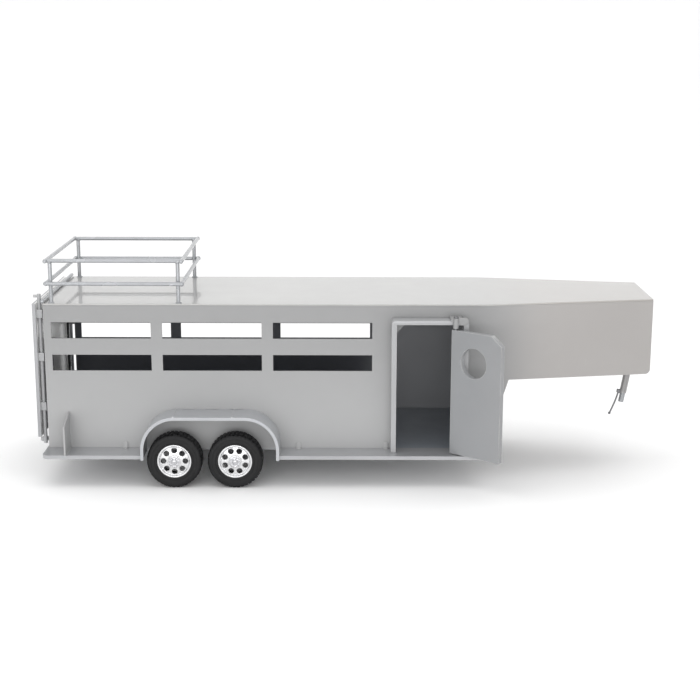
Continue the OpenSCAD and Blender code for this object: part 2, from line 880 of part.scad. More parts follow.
// Upper and lower pins on which the door turns
module door_pins() {
    color(dark_steel) placed() translate([door_pin[0], door_pin[1], 0]) {
        translate([0, 0, lip_z]) cylinder(h = door_z + 4.9 - lip_z, r = door_pin_r);
        translate([0, 0, door_head_z - 4.9])
            cylinder(h = frame_head_z + 3.6 - door_head_z + 4.9, r = door_pin_r);
        translate([0, 0, frame_head_z + 3.2]) cylinder(h = 0.9, r = door_pin_r + 0.7);
    }
}

floor_plate();
right_side_panel();
left_side_panel();
roof_panel();
nose_front_plate();
nose_floor();
riser_panel();
right_fender();
left_fender();
door_frame();
door_hinge_bracket();
board_gussets();
panel_tabs();
rack_posts();
rack_side_rails();
rack_cross_rails();
roof_rear_tube();
axle_hangers();
rear_axle();
front_axle();
axle_bushes();
axle_retainers();
hitch_tube();
hitch_socket();
hitch_ears();
hitch_wire();
gate_knuckle_straps();
latch_keeper();
gate_frame();
gate_sheet();
gate_hinge_rod();
latch_guides();
latch_rod();
door_inner_skin();
door_outer_skin();
window_ring();
door_pins();
tyre_rear_right();
rim_rear_right();
hub_cap_rear_right();
tyre_rear_left();
rim_rear_left();
hub_cap_rear_left();
tyre_front_right();
rim_front_right();
hub_cap_front_right();
tyre_front_left();
rim_front_left();
hub_cap_front_left();
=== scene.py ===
import json
import math

import bmesh
import bpy
from mathutils import Matrix, Vector, noise


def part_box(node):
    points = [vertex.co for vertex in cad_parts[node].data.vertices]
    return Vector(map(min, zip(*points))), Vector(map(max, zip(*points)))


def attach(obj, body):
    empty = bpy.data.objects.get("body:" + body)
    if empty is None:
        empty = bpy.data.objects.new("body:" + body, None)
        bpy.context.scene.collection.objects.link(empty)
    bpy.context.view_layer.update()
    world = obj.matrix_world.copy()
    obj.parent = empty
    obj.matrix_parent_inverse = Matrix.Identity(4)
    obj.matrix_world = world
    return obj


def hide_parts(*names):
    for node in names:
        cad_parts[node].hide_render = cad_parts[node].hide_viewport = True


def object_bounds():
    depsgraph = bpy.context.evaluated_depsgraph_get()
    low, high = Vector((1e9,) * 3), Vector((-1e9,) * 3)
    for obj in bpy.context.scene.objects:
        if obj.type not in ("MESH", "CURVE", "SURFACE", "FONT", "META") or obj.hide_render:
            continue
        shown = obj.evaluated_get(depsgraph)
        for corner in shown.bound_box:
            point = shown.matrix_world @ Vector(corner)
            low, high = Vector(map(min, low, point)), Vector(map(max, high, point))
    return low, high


# The CAD nodes keep their shapes and get procedural paint. Tyres, hub caps, the roof rack, the rear rod and the
# hitch wire are replaced by finer meshes on the same bodies. Lengths are in metres.

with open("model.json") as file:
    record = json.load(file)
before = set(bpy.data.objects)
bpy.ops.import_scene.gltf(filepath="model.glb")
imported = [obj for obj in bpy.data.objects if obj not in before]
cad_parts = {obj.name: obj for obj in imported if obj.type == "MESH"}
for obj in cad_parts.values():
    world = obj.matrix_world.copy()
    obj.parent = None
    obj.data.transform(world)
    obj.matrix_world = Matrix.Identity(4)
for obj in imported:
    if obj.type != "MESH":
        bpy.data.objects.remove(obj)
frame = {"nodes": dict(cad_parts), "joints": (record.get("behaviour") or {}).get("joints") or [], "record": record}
CAD_BOX = [list(corner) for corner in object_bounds()]
NODES = frame["nodes"]
JOINTS = {joint["name"]: joint for joint in frame["joints"]}
MM = 0.001
WELD_R, FOOT_WELD_R, SEAM_WELD_R, SMALL_WELD_R = 0.55 * MM, 0.6 * MM, 0.7 * MM, 0.5 * MM
GATE_FLANGE = 2.2 * MM
PAINT_DEPTH = 0.6 * MM  # how far behind an outer face the inside paint starts


def box(name):
    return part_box(name)


# ---------------------------------------------------------------- materials

class Shader:
    """A node material with a Principled surface, and short names for the nodes it needs."""

    def __init__(self, name):
        self.material = bpy.data.materials.new(name)
        self.material.use_nodes = True
        self.tree = self.material.node_tree
        self.bsdf = self.tree.nodes["Principled BSDF"]
        self.geometry = self.tree.nodes.new("ShaderNodeNewGeometry")
        self.coords = self.tree.nodes.new("ShaderNodeTexCoord").outputs["Object"]

    def new(self, kind, **settings):
        node = self.tree.nodes.new(kind)
        for key, value in settings.items():
            setattr(node, key, value)
        return node

    def link(self, source, target):
        self.tree.links.new(source, target)

    def set(self, **sockets):
        for key, value in sockets.items():
            self.bsdf.inputs[key.replace("_", " ")].default_value = value

    def noise(self, scale, detail=3.0, rough=0.55, stretch=(1, 1, 1)):
        mapping = self.new("ShaderNodeMapping")
        mapping.inputs["Scale"].default_value = stretch
        self.link(self.coords, mapping.inputs["Vector"])
        node = self.new("ShaderNodeTexNoise")
        node.inputs["Scale"].default_value = scale
        node.inputs["Detail"].default_value = detail
        node.inputs["Roughness"].default_value = rough
        self.link(mapping.outputs["Vector"], node.inputs["Vector"])
        return node.outputs["Fac"]

    def ramp(self, value, low, high, out_low=0.0, out_high=1.0):
        node = self.new("ShaderNodeMapRange", interpolation_type="SMOOTHSTEP")
        node.inputs["From Min"].default_value = low
        node.inputs["From Max"].default_value = high
        node.inputs["To Min"].default_value = out_low
        node.inputs["To Max"].default_value = out_high
        self.link(value, node.inputs["Value"])
        return node.outputs["Result"]

    def math(self, operation, first, second=None):
        node = self.new("ShaderNodeMath", operation=operation)
        for value, socket in ((first, node.inputs[0]), (second, node.inputs[1])):
            if value is None:
                continue
            if isinstance(value, (int, float)):
                socket.default_value = value
            else:
                self.link(value, socket)
        return node.outputs[0]

    def mix(self, factor, first, second):
        node = self.new("ShaderNodeMix", data_type="RGBA")
        for value, socket in ((factor, node.inputs[0]), (first, node.inputs[6]), (second, node.inputs[7])):
            if isinstance(value, (int, float)):
                socket.default_value = value
            elif isinstance(value, tuple):
                socket.default_value = (*value, 1.0)
            else:
                self.link(value, socket)
        return node.outputs[2]

    def axis(self, name):
        node = self.new("ShaderNodeSeparateXYZ")
        self.link(self.coords, node.inputs[0])
        return node.outputs[name]

    def bump(self, heights):
        """Layers of (height, strength, distance), the first one nearest the base."""
        previous = None
        for height, strength, distance in heights:
            node = self.new("ShaderNodeBump")
            node.inputs["Strength"].default_value = strength
            node.inputs["Distance"].default_value = distance
            self.link(height, node.inputs["Height"])
            if previous is not None:
                self.link(previous, node.inputs["Normal"])
            previous = node.outputs["Normal"]
        self.link(previous, self.bsdf.inputs["Normal"])

    def edges(self, radius):
        """0 on flat faces, rising to 1 along sharp edges."""
        bevel = self.new("ShaderNodeBevel", samples=4)
        bevel.inputs["Radius"].default_value = radius
        dot = self.new("ShaderNodeVectorMath", operation="DOT_PRODUCT")
        self.link(bevel.outputs["Normal"], dot.inputs[0])
        self.link(self.geometry.outputs["True Normal"], dot.inputs[1])
        return self.ramp(dot.outputs["Value"], 0.99, 0.8)


def paint(name, color, rough, coat, gloss=0.1, interior_painted_shade=None, doorway_painted_light=None, edge_wear_and_highlight=0.3, peel=1.0, gate_inner_painted_light=None,
          metal=0.2, nose_painted_light=1.0, painted_wall_shading=0.0):
    """Silver enamel on steel: faint mottling, orange peel, pale edges that are partly wear and partly a painted
    highlight, a nose painted warmer and lighter as painted light, walls painted paler low and darker high as
    painted light and shade, and painted shade inside the body with painted light at the doorway and on the gate's
    inner face.
    """
    shader = Shader(name)
    shader.set(Metallic=metal, Coat_Weight=coat, Coat_Roughness=gloss, IOR=1.5)
    mottle = shader.noise(11.0, 4.0, 0.6)
    blotch = shader.noise(70.0, 3.0, 0.5)
    low = tuple(c * 0.95 for c in color)
    high = tuple(min(1.0, c * 1.05) for c in color)
    base = shader.mix(shader.ramp(mottle, 0.3, 0.7), low, high)
    scuffs = shader.ramp(shader.noise(300.0, 2.0, 0.4, (1, 1, 0.2)), 0.7, 0.82)
    base = shader.mix(shader.math("MULTIPLY", scuffs, 0.16), base, tuple(min(1.0, c * 1.3) for c in color))
    # Pale along sharp edges: partly worn paint, partly a painted highlight on the edges.
    edge = shader.math("MULTIPLY", shader.edges(0.0008), shader.ramp(blotch, 0.3, 0.6))
    base = shader.mix(shader.math("MULTIPLY", edge, edge_wear_and_highlight), base, (0.80, 0.80, 0.79))
    # The bent nose is painted warmer and lighter, scaled per paint: painted light for how the light falls on its
    # turned face.
    start = taper()[0]
    warm = shader.ramp(shader.axis("X"), start - 0.02, start + 0.06, 0.0, 0.5)
    base = shader.mix(warm, base, tuple(c * k * nose_painted_light for c, k in zip(color, (1.17, 1.07, 1.0))))
    # Painted light and shade on the straight walls: paler low down, darker high up, evening out the light that
    # falls on them.
    if painted_wall_shading:
        wall = box("right_side_panel")
        straight = shader.ramp(shader.axis("X"), start + 0.04, start - 0.02, 0.0, 0.75)
        height = shader.ramp(shader.axis("Z"), wall[0].z, wall[1].z)
        painted_wall_ramp = shader.mix(height, tuple(c * (1 + painted_wall_shading) for c in color), tuple(c * (1 - painted_wall_shading) for c in color))
        base = shader.mix(straight, base, painted_wall_ramp)
    # The gate's inner face is painted near white: painted light standing in for light falling on it inside the
    # body.
    if gate_inner_painted_light is not None:
        low, high = box("gate_sheet")
        inner = shader.ramp(shader.axis("X"), (low.x + high.x) / 2, high.x)
        away = shader.math("GREATER_THAN", shader.axis("Y"), box("gate_frame")[0].y + 0.001)
        base = shader.mix(shader.math("MULTIPLY", inner, away), base, gate_inner_painted_light)
    # Painted shade on the faces inside the body, turning to painted light near the side doorway where light falls
    # in.
    if interior_painted_shade is not None:
        door = box("door_frame")
        near = shader.ramp(shader.axis("X"), door[0].x - 0.03, door[0].x + 0.004)
        base = shader.mix(inside_mask(shader), base, shader.mix(near, interior_painted_shade, doorway_painted_light or interior_painted_shade))
    shader.link(base, shader.bsdf.inputs["Base Color"])
    haze = shader.ramp(blotch, 0.25, 0.75, rough - 0.04 * peel, rough + 0.05 * peel)
    shader.link(haze, shader.bsdf.inputs["Roughness"])
    shader.bump([(shader.noise(26.0, 2.0, 0.5), 0.12 * peel, 0.0004),
                 (shader.noise(300.0, 1.0, 0.4), 0.06 * peel, 0.00002)])
    return shader.material


def taper():
    """Where the right side starts to bend in, and how far in it is at the nose."""
    points = [v.co for v in NODES["right_side_panel"].data.vertices]
    outer = min(p.y for p in points)
    start = max(p.x for p in points if p.y < outer + 0.0002)
    end = max(p.x for p in points)
    nose = min(p.y for p in points if p.x > end - 0.0002)
    return start, end, nose - outer


def inside_mask(shader):
    """1 on the faces that look into the body, 0 outside it."""
    panel, other = box("right_side_panel"), box("left_side_panel")
    middle = (panel[0].y + other[1].y) / 2
    half = (other[1].y - panel[0].y) / 2
    start, end, inward = taper()
    ramp = shader.new("ShaderNodeMapRange")
    for socket, value in (("From Min", start), ("From Max", end), ("To Min", half), ("To Max", half - inward)):
        ramp.inputs[socket].default_value = value
    shader.link(shader.axis("X"), ramp.inputs["Value"])
    wall = shader.math("SUBTRACT", ramp.outputs["Result"], PAINT_DEPTH)
    offset = shader.math("ABSOLUTE", shader.math("SUBTRACT", shader.axis("Y"), middle))
    mask = shader.math("LESS_THAN", offset, wall)
    low, high = box("floor_plate")[1].z - 0.0004, box("roof_panel")[0].z + 0.0002
    for axis, test, limit in (("Z", "LESS_THAN", high), ("Z", "GREATER_THAN", low),
                              ("X", "GREATER_THAN", panel[0].x + PAINT_DEPTH), ("X", "LESS_THAN", end - 0.0008)):
        mask = shader.math("MULTIPLY", mask, shader.math(test, shader.axis(axis), limit))
    under = shader.math("LESS_THAN", shader.axis("Z"), box("nose_floor")[0].z + PAINT_DEPTH)
    ahead = shader.math("GREATER_THAN", shader.axis("X"), box("floor_plate")[1].x - 0.0008)
    outside = shader.math("MULTIPLY", under, ahead)
    return shader.math("MULTIPLY", mask, shader.math("SUBTRACT", 1.0, outside))


def rod_paint(name, color, rough):
    """Silver paint on round rod, with darker spatter and drawn grain under it."""
    shader = Shader(name)
    shader.set(Metallic=0.45, Coat_Weight=0.3, Coat_Roughness=0.12)
    mottle = shader.noise(55.0, 2.0, 0.5)
    base = shader.mix(shader.ramp(mottle, 0.3, 0.7), tuple(c * 0.9 for c in color), color)
    spots = shader.ramp(shader.noise(130.0, 1.0, 0.4), 0.66, 0.78)
    base = shader.mix(shader.math("MULTIPLY", spots, 0.12), base, tuple(c * 0.5 for c in color))
    shader.link(base, shader.bsdf.inputs["Base Color"])
    shader.link(shader.ramp(mottle, 0.3, 0.7, rough - 0.06, rough + 0.08), shader.bsdf.inputs["Roughness"])
    shader.bump([(shader.noise(90.0, 1.0, 0.4), 0.05, 0.00006)])
    return shader.material


def rubber(name):
    shader = Shader(name)
    shader.set(Metallic=0.0, Specular_IOR_Level=0.3)
    dust = shader.noise(120.0, 4.0, 0.6)
    base = shader.mix(shader.ramp(dust, 0.35, 0.75), (0.005, 0.005, 0.0055), (0.012, 0.012, 0.013))
    shader.link(base, shader.bsdf.inputs["Base Color"])
    shader.link(shader.ramp(dust, 0.3, 0.8, 0.5, 0.7), shader.bsdf.inputs["Roughness"])
    shader.bump([(shader.noise(1500.0, 3.0, 0.6), 0.25, 0.00006), (shader.noise(300.0, 2.0, 0.5), 0.1, 0.0001)])
    return shader.material


def chrome(name, color, rough, metal, hollow_painted_shade=False):
    """Bright plating, hazed, with painted shade along its edges and creases. A hollow rim gets painted shade, dull
    and dark, behind its face.
    """
    shader = Shader(name)
    shader.set(Metallic=metal)
    haze = shader.noise(160.0, 3.0, 0.6)
    base = shader.mix(shader.ramp(haze, 0.3, 0.8), color, tuple(c * 0.88 for c in color))
    # Painted shade: darker along edges and creases.
    edge_painted_shade = shader.math("MULTIPLY", shader.ramp(shader.edges(0.0005), 0.0, 1.0), 0.3)
    base = shader.mix(edge_painted_shade, base, tuple(c * 0.6 for c in color))
    # Painted shade: the rim's inside, behind its face, is painted near black.
    if hollow_painted_shade:
        right, left = box("rim_rear_right"), box("rim_rear_left")
        middle = (right[0].y + left[1].y) / 2
        behind = (left[1].y - right[0].y) / 2 - 0.0034
        offset = shader.math("ABSOLUTE", shader.math("SUBTRACT", shader.axis("Y"), middle))
        base = shader.mix(shader.math("LESS_THAN", offset, behind), base, (0.02, 0.02, 0.022))
    shader.link(base, shader.bsdf.inputs["Base Color"])
    shader.link(shader.ramp(haze, 0.3, 0.8, rough, rough + 0.12), shader.bsdf.inputs["Roughness"])
    shader.bump([(shader.noise(500.0, 2.0, 0.5), 0.08, 0.00006)])
    return shader.material


def steel(name, color, rough):
    shader = Shader(name)
    shader.set(Metallic=0.9)
    grain = shader.noise(900.0, 3.0, 0.6, (1, 1, 0.15))
    base = shader.mix(grain, tuple(c * 0.7 for c in color), color)
    shader.link(base, shader.bsdf.inputs["Base Color"])
    shader.link(shader.ramp(grain, 0.3, 0.7, rough - 0.08, rough + 0.1), shader.bsdf.inputs["Roughness"])
    shader.bump([(grain, 0.2, 0.00006)])
    return shader.material


# One silver enamel in several tones as painted light and shade: the roof, fenders and running board lighter for
# the light from above, the door darker for the shade on its open face.
BODY = paint("body_paint", (0.308, 0.309, 0.311), 0.46, 0.14, metal=0.04, painted_wall_shading=0.2,
             interior_painted_shade=(0.085, 0.09, 0.105), doorway_painted_light=(0.225, 0.23, 0.245))
DOOR = paint("door_paint", (0.256, 0.262, 0.271), 0.36, 0.35, edge_wear_and_highlight=0.5)
FRAME = paint("frame_paint", (0.325, 0.328, 0.335), 0.36, 0.3, metal=0.08, edge_wear_and_highlight=0.6)
FENDER = paint("fender_paint", (0.385, 0.395, 0.412), 0.36, 0.35, edge_wear_and_highlight=0.4)
ROOF = paint("roof_paint", (0.362, 0.358, 0.35), 0.3, 0.9, gloss=0.03, interior_painted_shade=(0.05, 0.05, 0.055), peel=0.15,
             nose_painted_light=0.9)
GATE = paint("gate_paint", (0.31, 0.315, 0.325), 0.36, 0.35, gate_inner_painted_light=(0.85, 0.85, 0.84))
FLOOR = paint("floor_paint", (0.345, 0.35, 0.362), 0.32, 0.4,
              interior_painted_shade=(0.11, 0.115, 0.125), doorway_painted_light=(0.27, 0.30, 0.34))
ROD = rod_paint("rod_paint", (0.36, 0.37, 0.385), 0.22)
RUBBER = rubber("tyre_rubber")
RIM = chrome("rim_chrome", (0.80, 0.80, 0.81), 0.2, 0.85, hollow_painted_shade=True)
HUB = chrome("hub_chrome", (0.62, 0.62, 0.64), 0.16, 1.0)
STEEL = steel("dark_steel", (0.2, 0.2, 0.21), 0.34)

FINISH = {"body_paint": BODY, "roof_paint": ROOF, "floor_paint": FLOOR, "rod_steel": ROD,
          "dark_steel": STEEL, "tyre_rubber": RUBBER, "rim_chrome": RIM, "hub_chrome": HUB}
SLOTS = {part["node"]: part["material_slot"] for part in frame["record"]["subparts"]}
BODIES = frame["record"]["behaviour"]["bodies"]
BODY_OF = {name: body for body, names in BODIES.items() for name in names}


def finish_nodes():
    """Every CAD node gets its slot's material, welded points and small rounded edges."""
    # The hitch tube takes the door's darker tone as painted shade, and the latch rod and guides the frame's
    # lighter tone as painted light.
    special = {"gate_frame": GATE, "gate_sheet": GATE, "door_frame": FRAME, "hitch_tube": DOOR,
               "latch_rod": FRAME, "latch_guides": FRAME,
               "right_fender": FENDER, "left_fender": FENDER,
               "door_inner_skin": DOOR, "door_outer_skin": DOOR, "window_ring": DOOR}
    for name, node in NODES.items():
        node.data.materials.clear()
        node.data.materials.append(special.get(name, FINISH[SLOTS[name]]))
        weld = node.modifiers.new("weld", "WELD")
        weld.merge_threshold = 0.00001
        bevel = node.modifiers.new("bevel", "BEVEL")
        bevel.width = 0.0006 if name in ("roof_panel", "floor_plate", "door_frame") else 0.00035
        bevel.segments = 2
        bevel.limit_method = "ANGLE"
        bevel.angle_limit = math.radians(40)
        bevel.harden_normals = True
        normals = node.modifiers.new("normals", "WEIGHTED_NORMAL")
        normals.weight = 100
        normals.keep_sharp = True
        for polygon in node.data.polygons:
            polygon.use_smooth = True
        node.data.update()


# ------------------------------------------------------------ building pieces

def islands(name):
    """Lowest and highest corner of each separate solid of a CAD node."""
    bm = bmesh.new()
    bm.from_mesh(NODES[name].data)
    bmesh.ops.remove_doubles(bm, verts=bm.verts, dist=0.00001)
    seen, found = set(), []
    for seed in bm.verts:
        if seed in seen:
            continue
        seen.add(seed)
        stack, group = [seed], []
        while stack:
            vert = stack.pop()
            group.append(vert.co.copy())
            for edge in vert.link_edges:
                other = edge.other_vert(vert)
                if other not in seen:
                    seen.add(other)
                    stack.append(other)
        found.append((Vector([min(p[i] for p in group) for i in range(3)]),
                      Vector([max(p[i] for p in group) for i in range(3)])))
    bm.free()
    return found


def add_piece(name, bm, material, body, hides=(), sharp=40):
    bmesh.ops.recalc_face_normals(bm, faces=bm.faces)
    mesh = bpy.data.meshes.new(name)
    bm.to_mesh(mesh)
    bm.free()
    mesh.materials.append(material)
    for polygon in mesh.polygons:
        polygon.use_smooth = True
    mesh.set_sharp_from_angle(angle=math.radians(sharp))
    piece = bpy.data.objects.new(name, mesh)
    bpy.context.scene.collection.objects.link(piece)
    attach(piece, body)
    for node in hides:
        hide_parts(node)
    return piece


def rings(bm, centres, frames, radii, segments, shape=None):
    """Skins a tube through rings of points, and closes both ends."""
    loops = []
    for index, (centre, (u, v), radius) in enumerate(zip(centres, frames, radii)):
        loop = []
        for k in range(segments):
            angle = 2 * math.pi * k / segments
            size = radius * (shape(index, angle) if shape else 1.0)
            loop.append(bm.verts.new(centre + size * (math.cos(angle) * u + math.sin(angle) * v)))
        loops.append(loop)
    for first, second in zip(loops, loops[1:]):
        for k in range(segments):
            n = (k + 1) % segments
            bm.faces.new((first[k], first[n], second[n], second[k]))
    bm.faces.new(loops[0])
    bm.faces.new(list(reversed(loops[-1])))


def sweep(bm, points, radii, segments=14):
    """A round bar along a path, with its cross-sections kept from twisting."""
    points = [Vector(p) for p in points]
    tangents = [(points[min(i + 1, len(points) - 1)] - points[max(i - 1, 0)]).normalized()
                for i in range(len(points))]
    up = Vector((0, 1, 0)) if abs(tangents[0].y) < 0.9 else Vector((1, 0, 0))
    u = tangents[0].cross(up).normalized()
    frames = []
    for tangent in tangents:
        u = (u - tangent * u.dot(tangent)).normalized()
        frames.append((u, tangent.cross(u)))
    rings(bm, points, frames, radii, segments)


def domed_rod(bm, start, end, radius, wobble, seed):
    """A cut length of rod, slightly uneven, with rounded ends."""
    start, end = Vector(start), Vector(end)
    along = end - start
    length = along.length
    axis = along.normalized()
    points, radii = [], []
    for step in (0.0, 0.12, 0.3, 0.55, 0.8):
        points.append(start + axis * radius * 0.6 * step)
        radii.append(radius * math.sqrt(max(0.05, 1 - (1 - step) ** 2)))
    count = max(4, int(length / 0.004))
    for i in range(count + 1):
        s = 0.6 * radius + (length - 1.2 * radius) * i / count
        sway = noise.noise(Vector((s * 60, seed, 0)))
        points.append(start + axis * s)
        radii.append(radius * (1 - wobble * (0.5 + 0.5 * sway)))
    for step in (0.8, 0.55, 0.3, 0.12, 0.0):
        points.append(end - axis * radius * 0.6 * step)
        radii.append(radius * math.sqrt(max(0.05, 1 - (1 - step) ** 2)))
    sweep(bm, points, radii, 18)


def blob(bm, centre, size, seed):
    """A lump of weld metal: a ball pushed about by noise."""
    made = bmesh.ops.create_icosphere(bm, subdivisions=3, radius=1.0)
    for vert in made["verts"]:
        lump = 1 + 0.22 * noise.noise(vert.co * 1.7 + Vector((seed, 0, 0)))
        lump += 0.05 * noise.noise(vert.co * 6 + Vector((0, seed, 0)))
        vert.co = Vector([vert.co[i] * size[i] * lump for i in range(3)]) + Vector(centre)
        vert.co.z = min(vert.co.z, CAD_BOX[1][2])


def bead(bm, start, end, radius, seed):
    """A run of weld with overlapping ripples, half sunk in the corner it fills."""
    start, end = Vector(start), Vector(end)
    length = (end - start).length
    axis = (end - start).normalized()
    pitch = radius * 1.1
    count = max(8, int(length / pitch * 4))
    points, radii = [], []
    for i in range(count + 1):
        s = length * i / count
        ripple = abs(math.sin(math.pi * s / pitch))
        taper_off = min(1.0, math.sqrt(min(s, length - s) / radius + 0.05))
        lump = 1 + 0.18 * noise.noise(Vector((s * 250, seed, 0)))
        points.append(start + axis * s)
        radii.append(radius * (0.78 + 0.22 * ripple) * taper_off * lump)
    sweep(bm, points, radii, 10)


def lathe(bm, centre, axis, profile, segments=48, shape=None):
    """Turns (along, radius) pairs about an axis."""
    axis = Vector(axis).normalized()
    side = Vector((0, 0, 1)) if abs(axis.z) < 0.9 else Vector((1, 0, 0))
    u = (side - axis * side.dot(axis)).normalized()
    v = axis.cross(u)
    centres = [Vector(centre) + axis * along for along, _ in profile]
    rings(bm, centres, [(u, v)] * len(profile), [radius for _, radius in profile], segments, shape)


# ------------------------------------------------------------------- wheels

TREAD_BLOCKS = 40
RIM_HOLES = 8
RIM_HOLE_RING = 8.9 * MM
RIM_HOLE_R = 2.35 * MM
LUG_RING = 3.25 * MM
LUGS = 6


def tyre_profile(half, inner, outer):
    """(radius, place across, kind) round the tyre's section; kind t is cut by the tread."""
    groove = outer - 0.85 * MM
    side = [(inner, 0.86, "s"), (inner + 0.3 * MM, 0.93, "s"), (inner + 1.0 * MM, 0.985, "s"),
            (inner + 1.5 * MM, 0.985, "s"), (inner + 1.7 * MM, 0.955, "s"), (inner + 2.1 * MM, 0.955, "s"),
            (inner + 2.3 * MM, 0.995, "s"), (inner + 4.6 * MM, 1.0, "s"), (inner + 4.75 * MM, 0.975, "s"),
            (inner + 5.1 * MM, 0.975, "s"), (inner + 5.25 * MM, 0.995, "s"), (outer - 2.4 * MM, 0.985, "s"),
            (outer - 2.2 * MM, 0.98, "k"), (outer - 1.1 * MM, 0.93, "k"), (outer - 0.45 * MM, 0.84, "t"),
            (outer - 0.05 * MM, 0.74, "t"), (outer, 0.68, "t"), (outer, 0.47, "t"),
            (groove, 0.455, "s"), (groove, 0.375, "s"), (outer, 0.36, "t"),
            (outer, 0.06, "t"), (groove, 0.045, "s")]
    first = [(r, -y * half, kind) for r, y, kind in side]
    return first + [(r, -y, kind) for r, y, kind in reversed(first)]


def build_tyre(node):
    low, high = box(node)
    centre = (low + high) / 2
    half = (high.y - low.y) / 2
    outer = (high.x - low.x) / 2
    rim = box(node.replace("tyre", "rim"))
    inner = (rim[1].x - rim[0].x) / 2
    profile = tyre_profile(half, inner, outer)
    bm = bmesh.new()
    columns = []
    cuts = (0.0, 0.035, 0.4, 0.74, 0.775, 0.9)
    for block in range(TREAD_BLOCKS):
        for index, cut in enumerate(cuts):
            in_gap = index in (4, 5) or index == 0
            column = []
            for radius, across, kind in profile:
                chevron = 0.45 * abs(across) / half if kind in "tk" else 0.45
                angle = 2 * math.pi * (block + cut + chevron) / TREAD_BLOCKS
                if kind == "t" and in_gap:
                    radius -= 0.6 * MM
                if kind == "k" and in_gap:
                    across -= math.copysign(0.22 * MM, across)
                column.append(bm.verts.new(centre + Vector((radius * math.cos(angle), across,
                                                            radius * math.sin(angle)))))
            columns.append(column)
    for i, column in enumerate(columns):
        following = columns[(i + 1) % len(columns)]
        for j in range(len(profile)):
            k = (j + 1) % len(profile)
            bm.faces.new((column[j], column[k], following[k], following[j]))
    add_piece("detail_" + node, bm, RUBBER, BODY_OF[node], hides=(node,), sharp=32)


def build_hub(node):
    """Domed cap with a raised ring, chamfered wheel nuts on washers, and rolled lips on the rim's holes."""
    low, high = box(node)
    centre = (low + high) / 2
    outward = -1 if "right" in node else 1
    base = low.y if outward > 0 else high.y
    tall = high.y - low.y
    reach = (high.x - low.x) / 2
    axis = Vector((0, outward, 0))
    foot = Vector((centre.x, base, centre.z))
    bm = bmesh.new()
    # (height as a share of the cap's, radius as a share of its reach)
    section = ((0, 1), (0.22, 1), (0.32, 0.97), (0.38, 0.9), (0.34, 0.86), (0.34, 0.55), (0.42, 0.5),
               (0.66, 0.46), (0.74, 0.42), (0.72, 0.36), (0.86, 0.30), (0.96, 0.18), (0.995, 0.03))
    lathe(bm, foot, axis, [(up * tall, out * reach) for up, out in section])
    turn = 0.0 if "rear" in node else math.radians(12)
    for i in range(LUGS):
        angle = turn + 2 * math.pi * i / LUGS
        spot = foot + Vector((LUG_RING * math.cos(angle), 0, LUG_RING * math.sin(angle)))
        lathe(bm, spot, axis, [(0.3 * tall, 0.88 * MM), (0.40 * tall, 0.88 * MM), (0.43 * tall, 0.8 * MM)], 20)
        lathe(bm, spot, axis, [(0.4 * tall, 0.68 * MM), (0.68 * tall, 0.68 * MM), (0.76 * tall, 0.55 * MM)], 6)
        lathe(bm, spot, axis, [(0.7 * tall, 0.33 * MM), (0.88 * tall, 0.33 * MM), (0.93 * tall, 0.22 * MM)], 12)
    add_piece("detail_" + node, bm, HUB, BODY_OF[node], hides=(node,))

    rim = node.replace("hub_cap", "rim")
    rim_low, rim_high = box(rim)
    rim_r = (rim_high.x - rim_low.x) / 2
    edge = rim_high.y if outward > 0 else rim_low.y
    face = edge - outward * 1.2 * MM
    bm = bmesh.new()
    start = 0.0 if "rear" in node else math.pi / RIM_HOLES
    for i in range(RIM_HOLES):
        angle = start + 2 * math.pi * i / RIM_HOLES
        spot = Vector((centre.x + RIM_HOLE_RING * math.cos(angle), face - outward * 0.05 * MM,
                       centre.z + RIM_HOLE_RING * math.sin(angle)))
        ring_piece(bm, spot, axis, RIM_HOLE_R + 0.22 * MM, 0.18 * MM, 32)
    for y, major, minor in ((edge - outward * 0.28 * MM, rim_r - 0.55 * MM, 0.28 * MM),
                            (face + outward * 0.1 * MM, rim_r - 2.1 * MM, 0.2 * MM)):
        ring_piece(bm, Vector((centre.x, y, centre.z)), axis, major, minor, 72)
    stem = centre + Vector((0, 0, rim_r - 2.6 * MM))
    stem.y = face
    valve = ((0, 0.45), (0.75, 0.42), (0.8, 0.33), (1.1, 0.3))
    lathe(bm, stem, axis, [(along * MM, radius * MM) for along, radius in valve], 12)
    add_piece("detail_" + rim, bm, RIM, BODY_OF[rim])


def ring_piece(bm, centre, axis, major, minor, segments):
    """A closed ring of round section."""
    axis = Vector(axis).normalized()
    side = Vector((0, 0, 1)) if abs(axis.z) < 0.9 else Vector((1, 0, 0))
    u = (side - axis * side.dot(axis)).normalized()
    v = axis.cross(u)
    loops = []
    for i in range(segments):
        angle = 2 * math.pi * i / segments
        outward = math.cos(angle) * u + math.sin(angle) * v
        loops.append([bm.verts.new(centre + outward * (major + minor * math.cos(2 * math.pi * k / 8))
                                   + axis * minor * math.sin(2 * math.pi * k / 8)) for k in range(8)])
    for i in range(segments):
        first, second = loops[i], loops[(i + 1) % segments]
        for k in range(8):
            n = (k + 1) % 8
            bm.faces.new((first[k], first[n], second[n], second[k]))


# --------------------------------------------------------------- rack and hitch

